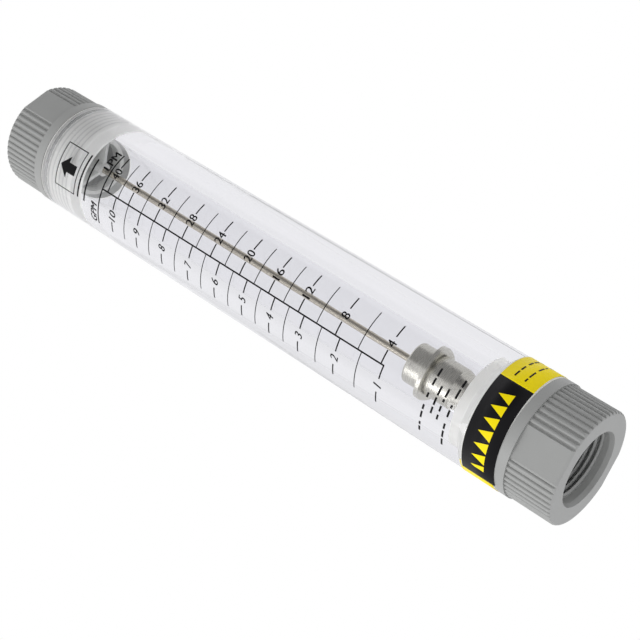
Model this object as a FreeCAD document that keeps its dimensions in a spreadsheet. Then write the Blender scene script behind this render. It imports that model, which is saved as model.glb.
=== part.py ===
import FreeCAD, Part
import os
import Sketcher

# Pipeline rotameter: a clear tapered tube between two threaded end caps, with a float on a guide rod.
# Frame: +Z along the flow, origin at the centre of the inlet face, the scale faces -Y.

doc = FreeCAD.newDocument("Rotameter")
sheet = doc.addObject("Spreadsheet::Sheet", "Sizes")

SIZES = [
    ("overallLength", 260.0, "inlet face to outlet face"),
    ("tubeDiameter", 42.0, "clear tube and the collars flush with it, outside"),
    ("gripDiameter", 41.2, "over the ribs of a cap's grip"),
    ("tubeEdge", 0.4, "edge break of the clear tube"),
    ("boreInlet", 21.0, "tapered bore, diameter at its small end"),
    ("boreOutlet", 24.4, "tapered bore, diameter at its large end"),
    ("socketWall", 4.2, "tube wall beside a spigot"),
    ("socketDepth", 14.8, "straight part of each socket in the tube"),
    ("socketClearance", 0.1, "radial, spigot in socket"),
    ("drillAngle", 59.0, "half angle of the cone at a socket's floor, degrees"),
    ("gripLength", 17.4, "ribbed part of a cap"),
    ("collarHeight", 3.8, "plain ring of a cap beside the tube"),
    ("rimRadius", 1.1, "rounding of a cap's outer rim"),
    ("flatDepth", 0.9, "depth of a cap's two wrench flats below the ribs"),
    ("ribPitch", 6.5, "from rib to rib, degrees"),
    ("ribCount", 22, "ribs on each side between the flats"),
    ("ribRound", 0.82, "crest radius of a rib"),
    ("ribDepth", 0.7, "groove depth between ribs; they run out in the rim's rounding"),
    ("inletTurn", -83.5, "where the inlet cap's flats came to rest, degrees"),
    ("outletTurn", -43.3, "where the outlet cap's flats came to rest, degrees"),
    ("spigotLength", 14.3, "part of a cap inside the tube"),
    ("spigotEdge", 0.5, "chamfer of the spigot's end"),
    ("portDiameter", 26.4, "3/4 inch pipe thread, major diameter"),
    ("portDepth", 15.5, "pipe port, from the face"),
    ("mouthDiameter", 27.5, "port mouth at the face"),
    ("mouthDepth", 1.6, "length of the mouth's taper"),
    ("passageDiameter", 19.0, "water passage between port and tube"),
    ("sealSection", 2.0, "seal ring, thickness"),
    ("sealGroove", 0.8, "depth of the seal ring's groove in the spigot"),
    ("sealGrooveWidth", 2.3, "height of the seal ring's groove"),
    ("holderDiameter", 24.0, "rod holder's ring, outside"),
    ("holderWall", 2.0, "rod holder's ring, radial wall"),
    ("holderHeight", 4.0, "rod holder's ring, height"),
    ("holderClearance", 0.05, "radial, rod holder in its seat"),
    ("hubDiameter", 5.2, "rod holder's hub"),
    ("hubBack", 2.0, "hub behind the ring"),
    ("hubFront", 1.7, "hub ahead of the ring"),
    ("vaneThickness", 1.4, "vanes of a rod holder"),
    ("vaneRoot", 1.2, "how far a vane's root reaches past the ring's height, each way"),
    ("vaneCount", 3, "vanes in a rod holder"),
    ("holderTurn", 107.2, "direction of the rearmost vane, degrees"),
    ("rodDiameter", 2.5, "guide rod"),
    ("rodClearance", 0.1, "radial, rod in the hubs and in the float"),
    ("rodFloor", 1.5, "hub material behind the rod's end"),
    ("tailDiameter", 12.0, "float's lower end"),
    ("spoolDiameter", 14.9, "float above and below the flange"),
    ("flangeDiameter", 19.7, "float's reading edge"),
    ("neckDiameter", 13.9, "undercut below the flange"),
    ("tailHeight", 3.9, "cone at the float's lower end"),
    ("spoolHeight", 9.0, "cylinder below the undercut"),
    ("neckHeight", 0.5, "undercut below the flange"),
    ("flangeHeight", 1.5, "cylindrical edge of the flange"),
    ("slopeHeight", 0.5, "slope above the flange"),
    ("crownHeight", 7.5, "cylinder above the slope"),
    ("crownRadius", 1.0, "rounding of the float's top"),
    ("floatLift", 8.3, "float at rest, above the inlet hub"),
]

# Places worked out from the sizes
TUBE = "(Sizes.tubeDiameter / 2)"
SOCKET = "(%s - Sizes.socketWall)" % TUBE
SPIGOT = "(%s - Sizes.socketClearance)" % SOCKET
GRIP = "(Sizes.gripDiameter / 2)"
FLAT = "(%s - Sizes.flatDepth)" % GRIP
PORT = "Sizes.portDiameter / 2"
PASSAGE = "Sizes.passageDiameter / 2"
GROOVE = "(%s - Sizes.sealGroove)" % SPIGOT
SEAT = "(Sizes.holderDiameter / 2 + Sizes.holderClearance)"
HOLDER = "Sizes.holderDiameter / 2"
HUB = "Sizes.hubDiameter / 2"
ROD_HOLE = "(Sizes.rodDiameter / 2 + Sizes.rodClearance)"
CAP_LENGTH = "(Sizes.gripLength + Sizes.collarHeight)"
CAP_TOTAL = "(Sizes.gripLength + Sizes.collarHeight + Sizes.spigotLength)"
TUBE_LENGTH = "(Sizes.overallLength - 2 * %s)" % CAP_LENGTH
HUB_LENGTH = "(Sizes.hubBack + Sizes.holderHeight + Sizes.hubFront)"
HUB_FOOT = "(%s - Sizes.holderHeight - Sizes.hubBack)" % CAP_TOTAL
HUB_TOP = "(%s + Sizes.hubFront)" % CAP_TOTAL
# the seal ring touches the collar, the groove and a 45 degree seat in the tube's mouth
SEAL_SEAT = "(%s + Sizes.sealSection * (1 + sqrt(2) / 2) - %s)" % (GROOVE, SOCKET)


def fillSheet():
    for row, (name, size, note) in enumerate(SIZES, start=1):
        sheet.set("A%d" % row, note)
        sheet.set("B%d" % row, "%g" % size)
        sheet.setAlias("B%d" % row, name)
    doc.recompute()


def originPart(body, role):
    return [f for f in body.Origin.OriginFeatures if f.Role == role][0]


def newBody(name):
    body = doc.addObject("PartDesign::Body", name)
    body.Label = name
    return body


def newSketch(body, name, role):
    sketch = body.newObject("Sketcher::SketchObject", name)
    sketch.AttachmentSupport = [(originPart(body, role), "")]
    sketch.MapMode = "FlatFace"
    return sketch


def number(owner, expression):
    """The number that an expression stands for."""
    result = owner.evalExpression(expression)
    return float(getattr(result, "Value", result))


def bind(sketch, kind, geometry, point, expression):
    """Places a point by its distance from the sketch's origin, tied to the sheet."""
    size = number(sketch, expression)
    index = sketch.addConstraint(Sketcher.Constraint(kind, -1, 1, geometry, point, size))
    sketch.setExpression("Constraints[%d]" % index, expression)


def outline(sketch, corners):
    """A closed outline through corners given as pairs of expressions."""
    points = [FreeCAD.Vector(number(sketch, x), number(sketch, y), 0) for x, y in corners]
    first = sketch.GeometryCount
    count = len(points)
    for i in range(count):
        sketch.addGeometry(Part.LineSegment(points[i], points[(i + 1) % count]), False)
    for i in range(count):
        following = first + (i + 1) % count
        sketch.addConstraint(Sketcher.Constraint("Coincident", first + i, 2, following, 1))
    for i, (x, y) in enumerate(corners):
        bind(sketch, "DistanceX", first + i, 1, x)
        bind(sketch, "DistanceY", first + i, 1, y)


def revolve(body, name, corners):
    """Turns an outline of (radius, height) corners round the body's Z axis."""
    sketch = newSketch(body, name + "Profile", "XZ_Plane")
    outline(sketch, corners)
    turned = body.newObject("PartDesign::Revolution", name)
    turned.Profile = sketch
    turned.ReferenceAxis = (sketch, ["V_Axis"])
    turned.Angle = 360.0
    doc.recompute()
    return turned


def pocketUp(body, name, sketch, depth):
    """A pocket from the body's lower face upwards."""
    before = body.Shape.Volume
    pocket = body.newObject("PartDesign::Pocket", name)
    pocket.Profile = sketch
    pocket.Reversed = True
    pocket.setExpression("Length", depth)
    doc.recompute()
    if pocket.Shape.Volume >= before:
        raise RuntimeError(name + " cuts nothing")
    return pocket


def polarPattern(body, name, feature, occurrences, angle):
    pattern = body.newObject("PartDesign::PolarPattern", name)
    pattern.Originals = [feature]
    pattern.Axis = (originPart(body, "Z_Axis"), [""])
    pattern.setExpression("Occurrences", occurrences)
    pattern.setExpression("Angle", angle)
    body.Tip = pattern
    doc.recompute()


def place(obj, height, turn="0"):
    """Stands a piece upright at a height, turned about the flow axis."""
    axis = FreeCAD.Vector(0, 0, 1)
    obj.Placement = FreeCAD.Placement(FreeCAD.Vector(0, 0, 0), axis, number(sheet, turn))
    obj.setExpression("Placement.Base.z", height)
    doc.recompute()


def placeFlipped(obj, height, turn="0"):
    """Hangs a piece upside down from a height; its X axis ends up turned by turn."""
    half = FreeCAD.Rotation(FreeCAD.Vector(0, 0, 1), number(sheet, turn) / 2)
    across = half.multVec(FreeCAD.Vector(1, 0, 0))
    obj.Placement = FreeCAD.Placement(FreeCAD.Vector(0, 0, 0), across, 180)
    obj.setExpression("Placement.Base.z", height)
    doc.recompute()


def addMeterBody():
    """Machined acrylic: straight outside, tapered bore, a socket with a seal seat at each end."""
    body = newBody("meter_body")
    seatEdge = "(%s + %s)" % (SOCKET, SEAL_SEAT)
    lowCone = "(Sizes.socketDepth + (%s - Sizes.boreInlet / 2) / tan(Sizes.drillAngle))" % SOCKET
    highCone = "(Sizes.socketDepth + (%s - Sizes.boreOutlet / 2) / tan(Sizes.drillAngle))" % SOCKET
    revolve(body, "Tube", [
        (seatEdge, "0"),
        (TUBE + " - Sizes.tubeEdge", "0"),
        (TUBE, "Sizes.tubeEdge"),
        (TUBE, TUBE_LENGTH + " - Sizes.tubeEdge"),
        (TUBE + " - Sizes.tubeEdge", TUBE_LENGTH),
        (seatEdge, TUBE_LENGTH),
        (SOCKET, "%s - %s" % (TUBE_LENGTH, SEAL_SEAT)),
        (SOCKET, TUBE_LENGTH + " - Sizes.socketDepth"),
        ("Sizes.boreOutlet / 2", "%s - %s" % (TUBE_LENGTH, highCone)),
        ("Sizes.boreInlet / 2", lowCone),
        (SOCKET, "Sizes.socketDepth"),
        (SOCKET, SEAL_SEAT),
    ])
    place(body, CAP_LENGTH)
    return body


def drawRibGap(sketch):
    """The gap between two round-topped ribs, drawn on the sketch's X axis."""
    lean = "(Sizes.ribPitch / 2)"
    centre = "(%s - Sizes.ribRound)" % GRIP
    roundX = "%s * cos(%s)" % (centre, lean)
    roundY = "%s * sin(%s)" % (centre, lean)
    crestX = "%s * cos(%s)" % (GRIP, lean)
    crestY = "%s * sin(%s)" % (GRIP, lean)
    floorX = "%s - Sizes.ribDepth" % GRIP
    outerX = "%s + Sizes.ribDepth" % GRIP
    floorY = "%s - sqrt(Sizes.ribRound ^ 2 - (%s - %s) ^ 2)" % (roundY, floorX, roundX)
    middle = FreeCAD.Vector(number(sketch, roundX), number(sketch, roundY), 0)
    floor = FreeCAD.Vector(number(sketch, floorX), number(sketch, floorY), 0)
    crest = FreeCAD.Vector(number(sketch, crestX), number(sketch, crestY), 0)
    outer = FreeCAD.Vector(number(sketch, outerX), crest.y, 0)
    across = ((floor + crest) * 0.5 - middle).normalize()
    bulge = middle + across * number(sketch, "Sizes.ribRound")

    def mirror(point):
        return FreeCAD.Vector(point.x, -point.y, 0)

    sketch.addGeometry([
        Part.Arc(floor, bulge, crest),
        Part.LineSegment(crest, outer),
        Part.LineSegment(outer, mirror(outer)),
        Part.LineSegment(mirror(outer), mirror(crest)),
        Part.Arc(mirror(crest), mirror(bulge), mirror(floor)),
        Part.LineSegment(mirror(floor), floor),
    ], False)
    # an arc's first point is the one that its turning sense starts from
    ends = [[sketch.getPoint(i, point) for point in (1, 2)] for i in range(6)]
    for i in range(6):
        for j in range(i + 1, 6):
            for a in (1, 2):
                for b in (1, 2):
                    if ends[i][a - 1].distanceToPoint(ends[j][b - 1]) < 1e-6:
                        sketch.addConstraint(Sketcher.Constraint("Coincident", i, a, j, b))
    lowEnd = 1 if ends[0][0].distanceToPoint(floor) < 1e-6 else 2
    highEnd = 2 if lowEnd == 1 else 1
    bind(sketch, "DistanceX", 0, 3, roundX)
    bind(sketch, "DistanceY", 0, 3, roundY)
    bind(sketch, "DistanceX", 0, lowEnd, floorX)
    bind(sketch, "DistanceY", 0, lowEnd, floorY)
    bind(sketch, "DistanceY", 0, highEnd, crestY)
    bind(sketch, "DistanceX", 1, 2, outerX)
    sketch.addConstraint(Sketcher.Constraint("Horizontal", 1))
    sketch.addConstraint(Sketcher.Constraint("Equal", 0, 4))
    sketch.addConstraint(Sketcher.Constraint("Symmetric", 5, 1, 5, 2, -1))
    sketch.addConstraint(Sketcher.Constraint("Symmetric", 1, 1, 3, 2, -1))
    sketch.addConstraint(Sketcher.Constraint("Symmetric", 2, 1, 2, 2, -1))


def addCap(name):
    """Moulded end cap: port, grip with two wrench flats and ribs, collar and threaded spigot."""
    body = newBody(name)
    revolve(body, "Shell", [
        ("Sizes.mouthDiameter / 2", "0"),
        (GRIP, "0"),
        (GRIP, "Sizes.gripLength"),
        (TUBE, "Sizes.gripLength"),
        (TUBE, CAP_LENGTH),
        (GROOVE, CAP_LENGTH),
        (GROOVE, CAP_LENGTH + " + Sizes.sealGrooveWidth"),
        (SPIGOT, CAP_LENGTH + " + Sizes.sealGrooveWidth"),
        (SPIGOT, CAP_TOTAL + " - Sizes.spigotEdge"),
        (SPIGOT + " - Sizes.spigotEdge", CAP_TOTAL),
        (SEAT, CAP_TOTAL),
        (SEAT, CAP_TOTAL + " - Sizes.holderHeight"),
        (PASSAGE, CAP_TOTAL + " - Sizes.holderHeight"),
        (PASSAGE, "Sizes.portDepth"),
        (PORT, "Sizes.portDepth"),
        (PORT, "Sizes.mouthDepth"),
    ])
    addFlats(body)
    rounding(body, "Rim", faceEdges(body), "Sizes.rimRadius")
    addRibs(body)
    return body


def rounding(body, name, edges, radius):
    base = body.Tip
    fillet = body.newObject("PartDesign::Fillet", name)
    fillet.Base = (base, edges)
    fillet.setExpression("Radius", radius)
    body.Tip = fillet
    doc.recompute()


def faceEdges(body):
    """The edges round a cap's face: two arcs and the two flats' edges."""
    mouth = number(sheet, "Sizes.mouthDiameter / 2")
    names = []
    for index, edge in enumerate(body.Shape.Edges, start=1):
        middle = edge.valueAt((edge.FirstParameter + edge.LastParameter) / 2)
        if edge.BoundBox.ZMax < 1e-6 and middle.Length > mouth + 1e-6:
            names.append("Edge%d" % index)
    if len(names) != 4:
        raise RuntimeError("expected 4 edges round the face, found %d" % len(names))
    return names


def addFlats(body):
    reach = "(%s + Sizes.ribDepth)" % TUBE
    sketch = newSketch(body, "FlatProfile", "XY_Plane")
    outline(sketch, [
        (FLAT, "-" + reach),
        (reach, "-" + reach),
        (reach, reach),
        (FLAT, reach),
    ])
    flat = pocketUp(body, "Flat", sketch, "Sizes.gripLength")
    opposite = body.newObject("PartDesign::Mirrored", "OppositeFlat")
    opposite.Originals = [flat]
    opposite.MirrorPlane = (originPart(body, "YZ_Plane"), [""])
    body.Tip = opposite
    doc.recompute()


def addRibs(body):
    """Cuts the gaps between the ribs, from flat to flat on both sides."""
    firstGap = "(180 - Sizes.ribCount * Sizes.ribPitch) / 2"
    turn = FreeCAD.Rotation(FreeCAD.Vector(0, 0, 1), number(sheet, firstGap))
    sketch = newSketch(body, "RibGapProfile", "XY_Plane")
    sketch.AttachmentOffset = FreeCAD.Placement(FreeCAD.Vector(0, 0, 0), turn)
    doc.recompute()
    drawRibGap(sketch)
    gap = pocketUp(body, "RibGap", sketch, "Sizes.gripLength")
    both = body.newObject("PartDesign::MultiTransform", "Ribs")
    ribRow = body.newObject("PartDesign::PolarPattern", "RibRow")
    ribRow.Axis = (originPart(body, "Z_Axis"), [""])
    ribRow.setExpression("Occurrences", "Sizes.ribCount + 1")
    ribRow.setExpression("Angle", "Sizes.ribCount * Sizes.ribPitch")
    other = body.newObject("PartDesign::Mirrored", "OtherSide")
    other.MirrorPlane = (originPart(body, "XZ_Plane"), [""])
    both.Originals = [gap]
    both.Transformations = [ribRow, other]
    body.Tip = both
    doc.recompute()


def addSeal(name, height):
    """A rubber ring in the spigot's groove, against the collar."""
    ring = doc.addObject("Part::Torus", name)
    ring.Label = name
    ring.setExpression("Radius1", "%s + Sizes.sealSection / 2" % GROOVE)
    ring.setExpression("Radius2", "Sizes.sealSection / 2")
    place(ring, height)
    return ring


def addHolder(name):
    """A ring, three tapering vanes and a hub with a blind socket for the rod."""
    body = newBody(name)
    ringInner = "(%s - Sizes.holderWall)" % HOLDER
    ringTop = "(Sizes.hubBack + Sizes.holderHeight)"
    revolve(body, "Ring", [
        (ringInner, "Sizes.hubBack"),
        (HOLDER, "Sizes.hubBack"),
        (HOLDER, ringTop),
        (ringInner, ringTop),
    ])
    sketch = newSketch(body, "VaneProfile", "XZ_Plane")
    rootX = "(%s + %s) / 2" % (HUB, ROD_HOLE)
    tipX = "%s - Sizes.holderWall / 2" % HOLDER
    outline(sketch, [
        (rootX, "Sizes.hubBack - Sizes.vaneRoot"),
        (tipX, "Sizes.hubBack"),
        (tipX, ringTop),
        (rootX, ringTop + " + Sizes.vaneRoot"),
    ])
    vane = body.newObject("PartDesign::Pad", "Vane")
    vane.Profile = sketch
    vane.Midplane = True
    vane.setExpression("Length", "Sizes.vaneThickness")
    doc.recompute()
    polarPattern(body, "Vanes", vane, "Sizes.vaneCount", "360")
    revolve(body, "Hub", [
        ("0", "0"),
        (HUB, "0"),
        (HUB, HUB_LENGTH),
        (ROD_HOLE, HUB_LENGTH),
        (ROD_HOLE, "Sizes.rodFloor"),
        ("0", "Sizes.rodFloor"),
    ])
    return body


def addRod():
    rod = doc.addObject("Part::Cylinder", "guide_rod")
    rod.Label = "guide_rod"
    foot = "(%s + Sizes.rodFloor)" % HUB_FOOT
    rod.setExpression("Radius", "Sizes.rodDiameter / 2")
    rod.setExpression("Height", "Sizes.overallLength - 2 * %s" % foot)
    place(rod, foot)
    return rod


def addFloat():
    """Turned stainless spool; its widest edge is what the scale is read against."""
    body = newBody("float")
    spool = "Sizes.spoolDiameter / 2"
    tail = "Sizes.tailHeight"
    neck = tail + " + Sizes.spoolHeight"
    flange = neck + " + Sizes.neckHeight"
    slope = flange + " + Sizes.flangeHeight"
    crown = slope + " + Sizes.slopeHeight"
    top = crown + " + Sizes.crownHeight"
    revolve(body, "Spool", [
        (ROD_HOLE, "0"),
        ("Sizes.tailDiameter / 2", "0"),
        (spool, tail),
        (spool, neck),
        ("Sizes.neckDiameter / 2", neck),
        ("Sizes.neckDiameter / 2", flange),
        ("Sizes.flangeDiameter / 2", flange),
        ("Sizes.flangeDiameter / 2", slope),
        (spool, crown),
        (spool, top),
        (ROD_HOLE, top),
    ])
    rounding(body, "Crown", [topEdge(body, spool, top)], "Sizes.crownRadius")
    place(body, HUB_TOP + " + Sizes.floatLift")
    return body


def topEdge(body, radius, height):
    """The name of the circle with a radius at a height."""
    for index, edge in enumerate(body.Shape.Edges, start=1):
        curve = edge.Curve
        if not isinstance(curve, Part.Circle) or abs(curve.Radius - number(sheet, radius)) > 1e-6:
            continue
        if abs(curve.Center.z - number(sheet, height)) < 1e-6:
            return "Edge%d" % index
    raise RuntimeError("no circle at the top")


def writeParts(pieces):
    """Stops at anything that failed, then writes one file for each piece."""
    for obj in doc.Objects:
        if "Invalid" in obj.State or "Error" in obj.State:
            raise RuntimeError("%s: %s" % (obj.Name, obj.State))
    for piece in pieces:
        if piece.Shape.isNull() or not piece.Shape.isValid():
            raise RuntimeError(piece.Label + " has no valid shape")
    os.makedirs("parts", exist_ok=True)
    for piece in pieces:
        piece.Shape.exportStep("parts/%s.step" % piece.Label)
        print(piece.Label, round(piece.Shape.Volume, 1), len(piece.Shape.Solids))


fillSheet()
meterBody = addMeterBody()

inletCap = addCap("inlet_cap")
place(inletCap, "0", "Sizes.inletTurn")
outletCap = addCap("outlet_cap")
placeFlipped(outletCap, "Sizes.overallLength", "Sizes.outletTurn")

inletHolder = addHolder("inlet_rod_holder")
place(inletHolder, HUB_FOOT, "Sizes.holderTurn")
outletHolder = addHolder("outlet_rod_holder")
placeFlipped(outletHolder, "Sizes.overallLength - %s" % HUB_FOOT, "Sizes.holderTurn")

sealHeight = "(%s + Sizes.sealSection / 2)" % CAP_LENGTH
inletSeal = addSeal("inlet_seal_ring", sealHeight)
outletSeal = addSeal("outlet_seal_ring", "Sizes.overallLength - %s" % sealHeight)

writeParts([
    meterBody, inletCap, outletCap, inletHolder, outletHolder,
    inletSeal, outletSeal, addRod(), addFloat(),
])
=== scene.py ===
import math

import bmesh
import bpy
from mathutils import Euler, Matrix, Vector


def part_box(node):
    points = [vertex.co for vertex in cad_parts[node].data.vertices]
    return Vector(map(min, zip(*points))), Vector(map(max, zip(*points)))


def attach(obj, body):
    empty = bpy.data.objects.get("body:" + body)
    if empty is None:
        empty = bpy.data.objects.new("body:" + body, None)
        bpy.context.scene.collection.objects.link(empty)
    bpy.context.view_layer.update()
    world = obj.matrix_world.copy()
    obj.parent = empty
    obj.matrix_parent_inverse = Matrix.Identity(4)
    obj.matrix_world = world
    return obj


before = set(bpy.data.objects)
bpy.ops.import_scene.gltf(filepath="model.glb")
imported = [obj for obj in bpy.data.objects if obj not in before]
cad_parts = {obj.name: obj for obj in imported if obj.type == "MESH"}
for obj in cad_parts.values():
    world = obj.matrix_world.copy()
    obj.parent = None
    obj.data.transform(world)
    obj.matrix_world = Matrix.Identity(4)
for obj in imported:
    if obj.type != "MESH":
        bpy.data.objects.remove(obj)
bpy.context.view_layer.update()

mm = 0.001
tubeLow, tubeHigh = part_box("meter_body")
tubeRadius = tubeHigh.x
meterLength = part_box("outlet_cap")[1].z
scaleTurn = -90.0  # the scale's centre line faces -Y, degrees round the flow axis
print("frame loaded, the tube is", round(tubeRadius / mm, 2), "mm in radius")


# colours and nodes

def srgb(hexCode):
    parts = [int(hexCode[i:i + 2], 16) / 255 for i in (1, 3, 5)]
    linear = [c / 12.92 if c <= 0.04045 else ((c + 0.055) / 1.055) ** 2.4 for c in parts]
    return (*linear, 1.0)


def startMaterial(name):
    material = bpy.data.materials.new(name)
    material.use_nodes = True
    material.node_tree.nodes.clear()
    return material, material.node_tree


def addNode(tree, kind, settings=None, values=None, links=None):
    node = tree.nodes.new(kind)
    for name, value in (settings or {}).items():
        setattr(node, name, value)
    for name, value in (values or {}).items():
        node.inputs[name].default_value = value
    for name, socket in (links or {}).items():
        tree.links.new(socket, node.inputs[name])
    return node


def wrapMaterial(tree, shader):
    addNode(tree, "ShaderNodeOutputMaterial", links={"Surface": shader})


# clear cast acrylic, polished outside and in the bore: bends light, almost no colour of its own.
# The sockets, their cones and the first millimetres of the bore are left as the tool cut them, frosted.
acrylic = {
    "tint": "#F5F5F7",
    "ior": 1.49,
    "polished": 0.01,
    "machined": 0.34,
    "frost": "#FAFAF7",
    "frostShare": 0.88,
    "frostGlow": 0.6,  # how much of the frost lights up from the front
    "paintedGlow": 0.1,  # painted glow: the frost gives off light of its own, standing in for light the clear wall carries to it from all round
    "ringColour": "#E1E1DF",
    "ringPitch": 2.0,  # mm, darker rings in the frost of the outlet end
    "socketRadius": 17.6,  # mm, everything machined lies inside this radius
    "lowEnd": 43.4,  # mm above the inlet face
    "highEnd": 220.4,
    "ringStart": 225.0,
    "endDepth": 0.8,  # the two end faces and their broken edges
}


def mathNode(tree, operation, first, second):
    links = {i: v for i, v in enumerate((first, second)) if isinstance(v, bpy.types.NodeSocket)}
    values = {i: v for i, v in enumerate((first, second)) if i not in links}
    return addNode(tree, "ShaderNodeMath", {"operation": operation}, values, links).outputs[0]


def makeAcrylic():
    material, tree = startMaterial("cast_acrylic_polished")
    place = addNode(tree, "ShaderNodeTexCoord").outputs["Object"]
    axes = addNode(tree, "ShaderNodeSeparateXYZ", links={"Vector": place})
    height = axes.outputs["Z"]
    flat = addNode(tree, "ShaderNodeCombineXYZ", links={"X": axes.outputs["X"], "Y": axes.outputs["Y"]})
    radius = addNode(tree, "ShaderNodeVectorMath", {"operation": "LENGTH"}, links={"Vector": flat.outputs[0]})
    inside = mathNode(tree, "LESS_THAN", radius.outputs["Value"], acrylic["socketRadius"] * mm)
    atEnd = mathNode(tree, "MAXIMUM", mathNode(tree, "LESS_THAN", height, acrylic["lowEnd"] * mm),
                     mathNode(tree, "GREATER_THAN", height, acrylic["highEnd"] * mm))
    endFace = mathNode(tree, "MAXIMUM", mathNode(tree, "LESS_THAN", height, tubeLow.z + acrylic["endDepth"] * mm),
                       mathNode(tree, "GREATER_THAN", height, tubeHigh.z - acrylic["endDepth"] * mm))
    machined = mathNode(tree, "MAXIMUM", mathNode(tree, "MULTIPLY", inside, atEnd), endFace)
    rough = addNode(tree, "ShaderNodeMapRange", values={"To Min": acrylic["polished"], "To Max": acrylic["machined"]},
                    links={"Value": machined})
    glass = addNode(tree, "ShaderNodeBsdfPrincipled",
                    values={"Base Color": srgb(acrylic["tint"]), "IOR": acrylic["ior"], "Transmission Weight": 1.0},
                    links={"Roughness": rough.outputs[0]})
    wave = mathNode(tree, "SINE", mathNode(tree, "MULTIPLY", height, 2 * math.pi / (acrylic["ringPitch"] * mm)), 0.0)
    ringed = mathNode(tree, "GREATER_THAN", height, acrylic["ringStart"] * mm)
    rings = mathNode(tree, "MULTIPLY", mathNode(tree, "MAXIMUM", wave, 0.0), ringed)
    cut = addNode(tree, "ShaderNodeMix", {"data_type": "RGBA"},
                  {"A": srgb(acrylic["frost"]), "B": srgb(acrylic["ringColour"])}, {"Factor": rings})
    through = addNode(tree, "ShaderNodeBsdfTranslucent", links={"Color": cut.outputs["Result"]})
    lit = addNode(tree, "ShaderNodeBsdfDiffuse", links={"Color": cut.outputs["Result"]})
    scattered = addNode(tree, "ShaderNodeMixShader", values={0: acrylic["frostGlow"]},
                        links={1: through.outputs[0], 2: lit.outputs[0]})
    # painted glow: an emission that makes the frost light up though it is no lamp
    paintedGlow = addNode(tree, "ShaderNodeEmission", values={"Strength": acrylic["paintedGlow"]},
                    links={"Color": cut.outputs["Result"]})
    frost = addNode(tree, "ShaderNodeAddShader", links={0: scattered.outputs[0], 1: paintedGlow.outputs[0]})
    surface = addNode(tree, "ShaderNodeMixShader",
                      links={0: mathNode(tree, "MULTIPLY", machined, acrylic["frostShare"]),
                             1: glass.outputs[0], 2: frost.outputs[0]})
    # lamps shine through it onto the rod and the float
    lamps = addNode(tree, "ShaderNodeBsdfTransparent", values={"Color": srgb(acrylic["tint"])})
    path = addNode(tree, "ShaderNodeLightPath")
    both = addNode(tree, "ShaderNodeMixShader",
                   links={0: path.outputs["Is Shadow Ray"], 1: surface.outputs[0], 2: lamps.outputs[0]})
    wrapMaterial(tree, both.outputs[0])
    return material


# moulded ABS end caps: mid grey, satin, with a fine tool texture and slight flow marks
capAbs = {"colour": "#9B9C9A", "lighter": "#A2A3A1", "roughness": 0.45, "texture": 0.35, "flow": 9.0}

plasticSurface = {"ior": 1.53, "spread": 0.06, "bump": 0.12, "bumpDepth": 0.05}


def makePlastic(name, settings):
    material, tree = startMaterial(name)
    place = addNode(tree, "ShaderNodeTexCoord").outputs["Object"]
    flow = addNode(tree, "ShaderNodeTexNoise", values={"Scale": 1 / (settings["flow"] * mm), "Detail": 3.0},
                   links={"Vector": place})
    grain = addNode(tree, "ShaderNodeTexNoise", values={"Scale": 1 / (settings["texture"] * mm), "Detail": 2.0},
                    links={"Vector": place})
    colour = addNode(tree, "ShaderNodeMix", {"data_type": "RGBA"},
                     {"A": srgb(settings["colour"]), "B": srgb(settings["lighter"])},
                     {"Factor": flow.outputs["Fac"]})
    rough = addNode(tree, "ShaderNodeMapRange",
                    values={"To Min": settings["roughness"] - plasticSurface["spread"],
                            "To Max": settings["roughness"] + plasticSurface["spread"]},
                    links={"Value": grain.outputs["Fac"]})
    bump = addNode(tree, "ShaderNodeBump",
                   values={"Strength": plasticSurface["bump"], "Distance": plasticSurface["bumpDepth"] * mm},
                   links={"Height": grain.outputs["Fac"]})
    body = addNode(tree, "ShaderNodeBsdfPrincipled", values={"IOR": plasticSurface["ior"]},
                   links={"Base Color": colour.outputs["Result"], "Roughness": rough.outputs[0],
                          "Normal": bump.outputs[0]})
    wrapMaterial(tree, body.outputs[0])
    return material


# moulded ABS rod holders: the same kind of plastic in a lighter grey
holderAbs = {"colour": "#D2D3CF", "lighter": "#DADBD7", "roughness": 0.4, "texture": 0.3, "flow": 5.0}


# stainless steel, ground along the rod or turned round the float
rodSteel = {"colour": "#C4BDAE", "roughness": 0.2, "alongScale": 60.0, "acrossScale": 6000.0, "relief": 0.1}
floatSteel = {"colour": "#CBC9BF", "roughness": 0.24, "alongScale": 5200.0, "acrossScale": 40.0, "relief": 0.05}
steelSurface = {"below": 0.05, "above": 0.1, "bumpDepth": 0.02}


def makeSteel(name, settings):
    material, tree = startMaterial(name)
    place = addNode(tree, "ShaderNodeTexCoord").outputs["Object"]
    stretch = addNode(tree, "ShaderNodeMapping",
                      values={"Scale": (settings["acrossScale"], settings["acrossScale"], settings["alongScale"])},
                      links={"Vector": place})
    marks = addNode(tree, "ShaderNodeTexNoise", values={"Scale": 1.0, "Detail": 2.0},
                    links={"Vector": stretch.outputs[0]})
    rough = addNode(tree, "ShaderNodeMapRange",
                    values={"To Min": settings["roughness"] - steelSurface["below"],
                            "To Max": settings["roughness"] + steelSurface["above"]},
                    links={"Value": marks.outputs["Fac"]})
    bump = addNode(tree, "ShaderNodeBump",
                   values={"Strength": settings["relief"], "Distance": steelSurface["bumpDepth"] * mm},
                   links={"Height": marks.outputs["Fac"]})
    metal = addNode(tree, "ShaderNodeBsdfPrincipled",
                    values={"Base Color": srgb(settings["colour"]), "Metallic": 1.0},
                    links={"Roughness": rough.outputs[0], "Normal": bump.outputs[0]})
    wrapMaterial(tree, metal.outputs[0])
    return material


# silicone seal rings: pale grey, smooth
sealRubber = {"colour": "#B2B3B1", "lighter": "#BBBCBA", "roughness": 0.5, "texture": 0.25, "flow": 3.0}

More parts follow.
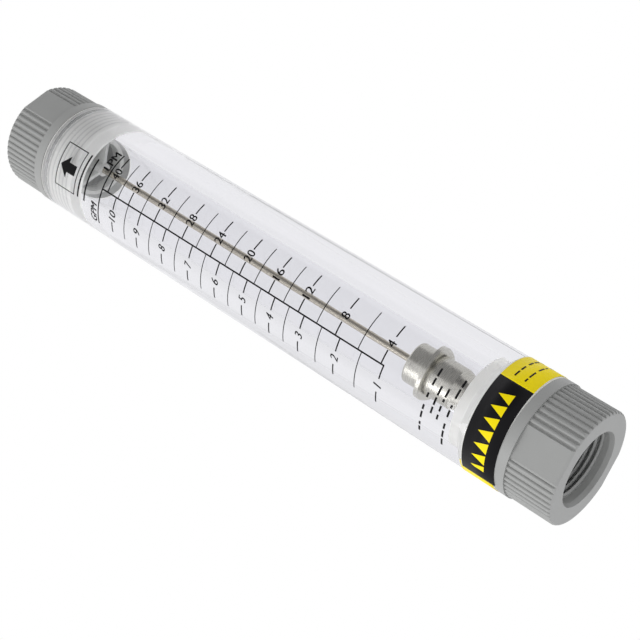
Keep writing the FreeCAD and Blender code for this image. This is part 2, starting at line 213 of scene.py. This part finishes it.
# screen ink on the tube and the cut vinyl band: flat colour, matt and satin
ink = {"colour": "#0A0A0C", "roughness": 0.7, "shine": 0.15}
vinyl = {"black": "#0D0C0F", "yellow": "#FFE803", "edge": "#E9E9E4", "roughness": 0.42, "shine": 0.15}
flatSurface = {"grain": 0.6, "below": 0.05, "above": 0.08}


def makeFlat(name, colour, roughness, shine):
    material, tree = startMaterial(name)
    place = addNode(tree, "ShaderNodeTexCoord").outputs["Object"]
    grain = addNode(tree, "ShaderNodeTexNoise", values={"Scale": 1 / (flatSurface["grain"] * mm), "Detail": 2.0},
                    links={"Vector": place})
    rough = addNode(tree, "ShaderNodeMapRange",
                    values={"To Min": roughness - flatSurface["below"], "To Max": roughness + flatSurface["above"]},
                    links={"Value": grain.outputs["Fac"]})
    coat = addNode(tree, "ShaderNodeBsdfPrincipled",
                   values={"Base Color": srgb(colour), "Specular IOR Level": shine},
                   links={"Roughness": rough.outputs[0]})
    wrapMaterial(tree, coat.outputs[0])
    return material


def dress(node, material):
    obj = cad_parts[node]
    obj.data.materials.clear()
    obj.data.materials.append(material)


acrylicMaterial = makeAcrylic()
capMaterial = makePlastic("abs_grey_moulded", capAbs)
holderMaterial = makePlastic("abs_light_grey_moulded", holderAbs)
rubberMaterial = makePlastic("silicone_rubber_moulded", sealRubber)
rodMaterial = makeSteel("stainless_steel_ground", rodSteel)
floatMaterial = makeSteel("stainless_steel_turned", floatSteel)
inkMaterial = makeFlat("screen_ink_black", ink["colour"], ink["roughness"], ink["shine"])
blackVinyl = makeFlat("vinyl_black_satin", vinyl["black"], vinyl["roughness"], vinyl["shine"])
yellowVinyl = makeFlat("vinyl_yellow_satin", vinyl["yellow"], vinyl["roughness"], vinyl["shine"])
edgeVinyl = makeFlat("vinyl_cut_edge", vinyl["edge"], vinyl["roughness"], vinyl["shine"])
dress("meter_body", acrylicMaterial)
for end in ("inlet", "outlet"):
    dress(end + "_cap", capMaterial)
    dress(end + "_rod_holder", holderMaterial)
    dress(end + "_seal_ring", rubberMaterial)
dress("guide_rod", rodMaterial)
dress("float", floatMaterial)
print("materials made and put on the frame")


# pieces

def finishPiece(bm, name, body, materials, smooth=False):
    mesh = bpy.data.meshes.new(name)
    bm.to_mesh(mesh)
    bm.free()
    obj = bpy.data.objects.new(name, mesh)
    bpy.context.scene.collection.objects.link(obj)
    for material in materials:
        mesh.materials.append(material)
    for face in mesh.polygons:
        face.use_smooth = smooth
    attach(obj, body)
    return obj


# how finely the flat layout is cut, in mm, so that it follows the tube when it is bent round it
strips = {"bar": 0.6, "arrowhead": 0.4, "lettering": 0.4, "leastHeight": 0.02}


def flatBar(bm, x, y, width, height, materialIndex=0):
    # a bar in the flat layout, in mm
    steps = max(1, math.ceil(width / strips["bar"]))
    place = Matrix.Translation((x, y, 0))
    grow = Matrix.Diagonal((width, height, 1, 1))
    made = bmesh.ops.create_grid(bm, x_segments=steps, y_segments=1, size=0.5, matrix=place @ grow)
    for vert in made["verts"]:
        for face in vert.link_faces:
            face.material_index = materialIndex


def flatArrowhead(bm, x, low, high, half, materialIndex=0):
    # a solid triangle in the flat layout, in mm
    steps = 2 * max(2, math.ceil(half / strips["arrowhead"]))
    rows = []
    for i in range(steps + 1):
        across = half * (2 * i / steps - 1)
        top = high - (high - low) * abs(across) / half
        top = max(top, low + strips["leastHeight"])
        rows.append((bm.verts.new((x + across, low, 0)), bm.verts.new((x + across, top, 0))))
    for (lowLeft, highLeft), (lowRight, highRight) in zip(rows, rows[1:]):
        bm.faces.new((lowLeft, lowRight, highRight, highLeft)).material_index = materialIndex


def sliceAcross(mesh, step):
    piece = bmesh.new()
    piece.from_mesh(mesh)
    low = min(v.co.x for v in piece.verts)
    high = max(v.co.x for v in piece.verts)
    for i in range(1, math.ceil((high - low) / step)):
        bmesh.ops.bisect_plane(piece, geom=piece.verts[:] + piece.edges[:] + piece.faces[:],
                               plane_co=(low + i * step, 0, 0), plane_no=(1, 0, 0))
    piece.to_mesh(mesh)
    piece.free()


def flatText(bm, words, x, y, height, width, lean, bold):
    # lettering in the flat layout, centred on (x, y), fitted to its height and width in mm, and printed
    # twice, a little apart, for a bolder stroke
    curve = bpy.data.curves.new("lettering", "FONT")
    curve.body = words
    curve.size = 1.0
    curve.shear = lean
    curve.resolution_u = 4
    source = bpy.data.objects.new("lettering", curve)
    bpy.context.scene.collection.objects.link(source)
    bpy.context.view_layer.update()
    mesh = bpy.data.meshes.new_from_object(source.evaluated_get(bpy.context.evaluated_depsgraph_get()))
    low = [min(v.co[i] for v in mesh.vertices) for i in (0, 1)]
    high = [max(v.co[i] for v in mesh.vertices) for i in (0, 1)]
    shift = Matrix.Translation((-(low[0] + high[0]) / 2, -(low[1] + high[1]) / 2, 0))
    fit = Matrix.Diagonal((width / (high[0] - low[0]), height / (high[1] - low[1]), 1, 1))
    mesh.transform(Matrix.Translation((x - bold, y, 0)) @ fit @ shift)
    sliceAcross(mesh, strips["lettering"])
    bm.from_mesh(mesh)
    mesh.transform(Matrix.Translation((2 * bold, 0, 0)))
    bm.from_mesh(mesh)
    bpy.data.objects.remove(source)
    bpy.data.curves.remove(curve)
    bpy.data.meshes.remove(mesh)


def bendOnTube(bm, lift, centreTurn, heightShift=None):
    # takes the flat layout, in mm, round the tube: x runs round it and y up it
    radius = tubeRadius + lift * mm
    for vert in bm.verts:
        along = vert.co.x
        turn = math.radians(centreTurn) + along * mm / tubeRadius
        height = vert.co.y + (heightShift(along) if heightShift else 0.0)
        reach = radius + vert.co.z * mm
        vert.co = Vector((reach * math.cos(turn), reach * math.sin(turn), height * mm))


def thicken(obj, depth):
    solid = obj.modifiers.new("thickness", "SOLIDIFY")
    solid.thickness = depth * mm
    solid.offset = 1.0


# the printed scale: litres on the right of the centre line, gallons on the left
scale = {
    "litres": {4: 70.9, 8: 90.8, 12: 107.5, 16: 121.3, 20: 135.2, 24: 149.5, 28: 163.8, 32: 178.1,
               36: 191.9, 40: 203.0},  # mm above the inlet face
    "gallons": {1: 69.7, 2: 88.6, 3: 104.7, 4: 118.2, 5: 131.3, 6: 144.8, 7: 158.3, 8: 171.8,
                9: 185.1, 10: 198.3},
    "top": 205.9,
    "tickEnd": 5.0,
    "numberCentre": 7.5,
    "dashStart": 10.1,
    "dashEnd": 14.8,
    "halfEnd": 14.6,
    "tickWidth": 0.52,
    "halfWidth": 0.35,
    "lineWidth": 0.58,
    "digitHeight": 3.35,
    "digitWidth": 1.9,
    "twoDigitWidth": 4.0,
    "digitBold": 0.08,
    "oneShare": 0.55,  # a 1 is this much narrower than the other digits
    "gallonLean": 0.2,  # the gallons are in sloping figures
    "headingRise": 2.5,
    "headingHeight": 3.2,
    "headingBold": 0.12,
    "litreHeading": {"centre": 10.7, "width": 7.6},
    "gallonHeading": {"centre": -10.5, "width": 8.0},
    "lift": 0.03,
    "inkDepth": 0.02,
}


def drawScaleSide(bm, marks, side, lean):
    values = sorted(marks)
    for value in values:
        height = marks[value]
        flatBar(bm, side * scale["tickEnd"] / 2, height, scale["tickEnd"], scale["tickWidth"])
        dash = scale["dashEnd"] - scale["dashStart"]
        flatBar(bm, side * (scale["dashStart"] + dash / 2), height, dash, scale["tickWidth"])
        width = scale["twoDigitWidth"] if value > 9 else scale["digitWidth"]
        if str(value) == "1":
            width *= scale["oneShare"]
        flatText(bm, str(value), side * scale["numberCentre"], height, scale["digitHeight"], width, lean,
                 scale["digitBold"])
    for low, high in zip(values, values[1:]):
        middle = (marks[low] + marks[high]) / 2
        flatBar(bm, side * scale["halfEnd"] / 2, middle, scale["halfEnd"], scale["halfWidth"])


def drawHeading(bm, words, heading, lean):
    flatText(bm, words, heading["centre"], scale["top"] + scale["headingRise"], scale["headingHeight"],
             heading["width"], lean, scale["headingBold"])


def addScale():
    bm = bmesh.new()
    low = min(scale["gallons"].values()) - scale["tickWidth"] / 2
    flatBar(bm, 0, (low + scale["top"]) / 2, scale["lineWidth"], scale["top"] - low)
    flatBar(bm, 0, scale["top"], 2 * scale["dashEnd"], scale["lineWidth"])
    drawScaleSide(bm, scale["litres"], 1, 0.0)
    drawScaleSide(bm, scale["gallons"], -1, scale["gallonLean"])
    drawHeading(bm, "LPM", scale["litreHeading"], 0.0)
    drawHeading(bm, "GPM", scale["gallonHeading"], scale["gallonLean"])
    bendOnTube(bm, scale["lift"], scaleTurn)
    obj = finishPiece(bm, "printed_scale", "meter", [inkMaterial])
    thicken(obj, scale["inkDepth"])


addScale()
print("scale printed")


# plain marks: a framed flow arrow above the scale, with two rules, and four broken rules by the float
marks = {
    "frameLow": 219.7,
    "frameHigh": 230.1,
    "frameHalf": 8.6,
    "frameLine": 0.4,
    "arrowHalf": 4.3,
    "arrowHead": 3.9,
    "arrowHeadStart": 0.4,  # from the frame's middle
    "arrowShaft": 3.9,
    "arrowShaftLength": 4.2,
    "arrowShaftMiddle": -1.7,
    "ruleHeights": (217.5, 213.9),
    "ruleDepth": 0.75,
    "noteRows": (
        (51.1, ((-14.7, -12.6), (-11.9, -10.6), (-8.9, -6.4), (-5.7, -3.9), (-1.3, 0.4), (3.0, 5.6), (6.3, 9.2))),
        (47.9, ((-5.4, -3.0), (-2.3, 0.4), (1.1, 4.4))),
        (45.2, ((-6.2, -4.4), (-3.2, -1.2), (0.2, 1.2), (1.9, 4.9))),
        (41.9, ((-14.9, -12.0), (-11.3, -8.6), (-7.9, -5.8), (-3.4, -0.9), (-0.2, 0.9), (3.2, 6.6), (7.3, 9.9))),
    ),
    "noteDepth": 0.75,
}


def addMarks():
    bm = bmesh.new()
    middle = (marks["frameLow"] + marks["frameHigh"]) / 2
    for height in (marks["frameLow"], marks["frameHigh"]):
        flatBar(bm, 0, height, 2 * marks["frameHalf"] + marks["frameLine"], marks["frameLine"])
    for side in (-1, 1):
        flatBar(bm, side * marks["frameHalf"], middle, marks["frameLine"],
                marks["frameHigh"] - marks["frameLow"] - marks["frameLine"])
    flatBar(bm, 0, middle + marks["arrowShaftMiddle"], marks["arrowShaft"], marks["arrowShaftLength"])
    headStart = middle + marks["arrowHeadStart"]
    flatArrowhead(bm, 0, headStart, headStart + marks["arrowHead"], marks["arrowHalf"])
    for height in marks["ruleHeights"]:
        flatBar(bm, 0, height, 2 * marks["frameHalf"], marks["ruleDepth"])
    for height, bars in marks["noteRows"]:
        for start, end in bars:
            flatBar(bm, (start + end) / 2, height, end - start, marks["noteDepth"])
    bendOnTube(bm, scale["lift"], scaleTurn)
    obj = finishPiece(bm, "printed_marks", "meter", [inkMaterial])
    thicken(obj, scale["inkDepth"])


addMarks()


# the vinyl band over the inlet end of the tube: a black panel on yellow, wound on a little askew
band = {
    "startTurn": -142.8,  # where the black panel starts, degrees round the axis
    "low": 20.7,
    "height": 13.1,
    "blackEnd": 37.2,  # mm along the band
    "rise": 0.95,
    "bow": 1.05,
    "overlap": 3.0,
    "depth": 0.1,
    "edge": 0.25,
    "lift": 0.05,
    "markDepth": 0.02,
}
bandLength = 2 * math.pi * tubeRadius / mm + band["overlap"]


def bandShift(along):
    share = along / bandLength
    return band["low"] + band["rise"] * share + band["bow"] * math.sin(math.pi * share)


def addBand():
    bm = bmesh.new()
    half = band["height"] / 2
    edge = band["edge"]
    flatBar(bm, band["blackEnd"] / 2, half - edge / 2, band["blackEnd"], band["height"] - edge, materialIndex=0)
    rest = bandLength - band["blackEnd"]
    flatBar(bm, band["blackEnd"] + rest / 2, half - edge / 2, rest, band["height"] - edge, materialIndex=1)
    flatBar(bm, bandLength / 2, band["height"] - edge / 2, bandLength, edge, materialIndex=2)
    for vert in bm.verts:
        under = max(0.0, 1 - vert.co.x / (2 * band["overlap"]))
        vert.co.z = (band["depth"] + band["lift"]) * under  # the start lies over the end
    bendOnTube(bm, band["lift"], band["startTurn"], bandShift)
    obj = finishPiece(bm, "vinyl_band", "meter", [blackVinyl, yellowVinyl, edgeVinyl], smooth=True)
    thicken(obj, band["depth"])


# plain flow marks on the band: a row of arrowheads on the black panel, broken rules on the yellow
arrowheads = {"first": 4.9, "count": 7, "pitch": 4.4, "half": 1.85, "low": 4.0, "high": 9.2}
bandRules = (
    (9.0, 0.6, ((39.4, 42.2), (43.0, 45.6), (47.4, 50.2), (51.0, 54.6), (56.4, 59.0), (59.8, 62.6))),
    (5.0, 0.6, ((39.4, 41.0), (41.8, 45.4), (47.2, 50.8), (51.6, 53.2), (55.0, 58.8), (59.6, 61.4))),
)


def addBandMarks():
    bm = bmesh.new()
    for i in range(arrowheads["count"]):
        x = arrowheads["first"] + i * arrowheads["pitch"]
        flatArrowhead(bm, x, arrowheads["low"], arrowheads["high"], arrowheads["half"], materialIndex=1)
    for height, depth, bars in bandRules:
        for start, end in bars:
            flatBar(bm, (start + end) / 2, height, end - start, depth, materialIndex=0)
    lift = band["lift"] + band["depth"] + band["markDepth"]
    bendOnTube(bm, lift, band["startTurn"], bandShift)
    obj = finishPiece(bm, "band_marks", "meter", [blackVinyl, yellowVinyl])
    thicken(obj, band["markDepth"])


addBand()
addBandMarks()
print("band wound on")


# pipe threads in both ports, and the fine thread on both spigots
portThread = {
    "wall": 13.2,
    "crest": 12.1,
    "pitch": 25.4 / 14,
    "start": 4.0,
    "end": 15.2,
    "crestFlat": 0.22,
    "stepsPerTurn": 72,
    "runOut": 0.35,  # turns over which the ridge fades at each end
}
spigotThread = {
    "wall": 16.7,
    "crest": 16.78,
    "pitch": 1.5,
    "start": 24.4,
    "end": 34.6,
    "crestFlat": 0.3,
    "stepsPerTurn": 72,
    "runOut": 0.35,
}
ridge = {"sink": 0.05, "footHalf": 0.48, "leastFade": 0.02}  # the foot is sunk a little into the wall


def threadRidge(settings):
    # one ridge turned up a helix
    bm = bmesh.new()
    pitch = settings["pitch"]
    sink = ridge["sink"] if settings["crest"] < settings["wall"] else -ridge["sink"]
    foot = settings["wall"] + sink
    profile = [(foot, -ridge["footHalf"] * pitch), (settings["crest"], -settings["crestFlat"] / 2),
               (settings["crest"], settings["crestFlat"] / 2), (foot, ridge["footHalf"] * pitch)]
    verts = [bm.verts.new((r, 0, settings["start"] + z)) for r, z in profile]
    edges = [bm.edges.new((verts[i], verts[(i + 1) % 4])) for i in range(4)]
    turns = (settings["end"] - settings["start"]) / pitch
    steps = int(turns * settings["stepsPerTurn"])
    bmesh.ops.spin(bm, geom=verts + edges, cent=(0, 0, 0), axis=(0, 0, 1),
                   dvec=(0, 0, (settings["end"] - settings["start"]) / steps),
                   angle=turns * 2 * math.pi, steps=steps, use_merge=False)
    bmesh.ops.contextual_create(bm, geom=[e for e in bm.edges if e.is_boundary])
    bm.verts.ensure_lookup_table()
    for index, vert in enumerate(bm.verts):
        radius = math.hypot(vert.co.x, vert.co.y)
        travel = index // 4 / steps * turns
        fade = min(1.0, travel / settings["runOut"], (turns - travel) / settings["runOut"])
        newRadius = foot + (radius - foot) * max(fade, ridge["leastFade"])
        vert.co.x *= newRadius / radius * mm
        vert.co.y *= newRadius / radius * mm
        vert.co.z *= mm
    bmesh.ops.recalc_face_normals(bm, faces=bm.faces)
    return bm


def addThreads(settings, name):
    for end in ("inlet", "outlet"):
        bm = threadRidge(settings)
        if end == "outlet":
            flip = Matrix.Translation((0, 0, meterLength)) @ Matrix.Rotation(math.pi, 4, "X")
            bmesh.ops.transform(bm, matrix=flip, verts=bm.verts)
        finishPiece(bm, end + "_" + name, "meter", [capMaterial], smooth=True)


addThreads(portThread, "port_thread")
addThreads(spigotThread, "spigot_thread")
print("threads cut")


# stage: pale floor, soft light, and a white studio with dark cards on the right that the metal and clear wall show

stage = {
    "floorSize": 3.0,
    "floorDrop": 0.05,
    "floorColour": "#E8E8E8",
    "dome": "#F8F8FA",
    "domeLevel": 0.97,
    "cards": (
        {"turn": -150.0, "rise": 5.0, "inner": 30.0, "outer": 70.0, "level": 0.9},
        {"turn": -34.0, "rise": 26.0, "inner": 31.0, "outer": 41.0, "level": 0.34},
        {"turn": -38.0, "rise": -20.0, "inner": 16.0, "outer": 24.0, "level": 0.12},
    ),
    "key": {"place": (-0.75, -1.0, 0.25), "size": 0.6, "power": 5.0},
    "top": {"place": (0.1, 0.2, 1.4), "size": 1.0, "power": 3.0},
}


def addFloor():
    bm = bmesh.new()
    place = Matrix.Translation((0, 0, -stage["floorDrop"] * mm))
    bmesh.ops.create_grid(bm, x_segments=1, y_segments=1, size=stage["floorSize"] / 2, matrix=place)
    mesh = bpy.data.meshes.new("floor")
    bm.to_mesh(mesh)
    bm.free()
    floor = bpy.data.objects.new("floor", mesh)
    bpy.context.scene.collection.objects.link(floor)
    material, tree = startMaterial("floor_pale")
    # only what looks down on it sees the floor, so the meter is lit and seen from below as well
    path = addNode(tree, "ShaderNodeLightPath")
    side = addNode(tree, "ShaderNodeNewGeometry")
    above = addNode(tree, "ShaderNodeMath", {"operation": "SUBTRACT"}, {0: 1.0}, {1: side.outputs["Backfacing"]})
    shown = addNode(tree, "ShaderNodeMath", {"operation": "MULTIPLY"},
                    links={0: above.outputs[0], 1: path.outputs["Is Camera Ray"]})
    clear = addNode(tree, "ShaderNodeBsdfTransparent")
    pale = addNode(tree, "ShaderNodeBsdfDiffuse", values={"Color": srgb(stage["floorColour"])})
    both = addNode(tree, "ShaderNodeMixShader", links={0: shown.outputs[0], 1: clear.outputs[0], 2: pale.outputs[0]})
    wrapMaterial(tree, both.outputs[0])
    mesh.materials.append(material)


def addWorld():
    world = bpy.data.worlds.new("studio")
    bpy.context.scene.world = world
    world.use_nodes = True
    tree = world.node_tree
    tree.nodes.clear()
    direction = addNode(tree, "ShaderNodeTexCoord").outputs["Generated"]
    level = addNode(tree, "ShaderNodeValue").outputs[0]
    level.default_value = stage["domeLevel"]
    for card in stage["cards"]:
        turn = Euler((0, -math.radians(card["rise"]), math.radians(card["turn"]))).to_matrix()
        middle = turn @ Vector((1, 0, 0))
        facing = addNode(tree, "ShaderNodeVectorMath", {"operation": "DOT_PRODUCT"}, {1: middle}, {0: direction})
        share = addNode(tree, "ShaderNodeMapRange", {"interpolation_type": "SMOOTHSTEP"},
                        {"From Min": math.cos(math.radians(card["outer"])),
                         "From Max": math.cos(math.radians(card["inner"]))},
                        {"Value": facing.outputs["Value"]})
        level = addNode(tree, "ShaderNodeMix", {"data_type": "FLOAT"}, {"B": card["level"]},
                        {"Factor": share.outputs[0], "A": level}).outputs["Result"]
    seen = addNode(tree, "ShaderNodeLightPath").outputs["Is Camera Ray"]
    strength = addNode(tree, "ShaderNodeMix", {"data_type": "FLOAT"}, {"B": 1.0}, {"Factor": seen, "A": level})
    colour = addNode(tree, "ShaderNodeMix", {"data_type": "RGBA"}, {"A": srgb(stage["dome"]), "B": (1, 1, 1, 1)},
                     {"Factor": seen})
    glow = addNode(tree, "ShaderNodeBackground",
                   links={"Color": colour.outputs["Result"], "Strength": strength.outputs["Result"]})
    addNode(tree, "ShaderNodeOutputWorld", links={"Surface": glow.outputs[0]})


def addLamp(name):
    settings = stage[name]
    light = bpy.data.lights.new(name, "AREA")
    light.size = settings["size"]
    light.energy = settings["power"]
    lamp = bpy.data.objects.new(name, light)
    lamp.location = settings["place"]
    aim = Vector((0, 0, meterLength / 2)) - lamp.location
    lamp.rotation_euler = aim.to_track_quat("-Z", "Y").to_euler()
    bpy.context.scene.collection.objects.link(lamp)


addFloor()
addWorld()
for name in ("key", "top"):
    addLamp(name)


# camera: near the inlet end and below it, turned so that the meter lies across the picture
view = {
    "place": (134.79, -435.42, -149.09),
    "aim": (-4.65, -1.50, 110.09),
    "roll": -57.954,
    "lens": 84.94,
    "sensor": 36.0,
    "nearest": 0.01,  # m
}


def addCamera():
    camera = bpy.data.cameras.new("camera")
    camera.lens = view["lens"]
    camera.sensor_width = view["sensor"]
    camera.clip_start = view["nearest"]
    obj = bpy.data.objects.new("camera", camera)
    place = Vector(view["place"]) * mm
    aim = Vector(view["aim"]) * mm - place
    turn = aim.to_track_quat("-Z", "Y").to_matrix().to_4x4() @ Matrix.Rotation(math.radians(view["roll"]), 4, "Z")
    obj.matrix_world = Matrix.Translation(place) @ turn
    bpy.context.scene.collection.objects.link(obj)
    bpy.context.scene.camera = obj


addCamera()
bpy.context.scene.view_settings.view_transform = "Standard"
print("stage, lights and camera set")
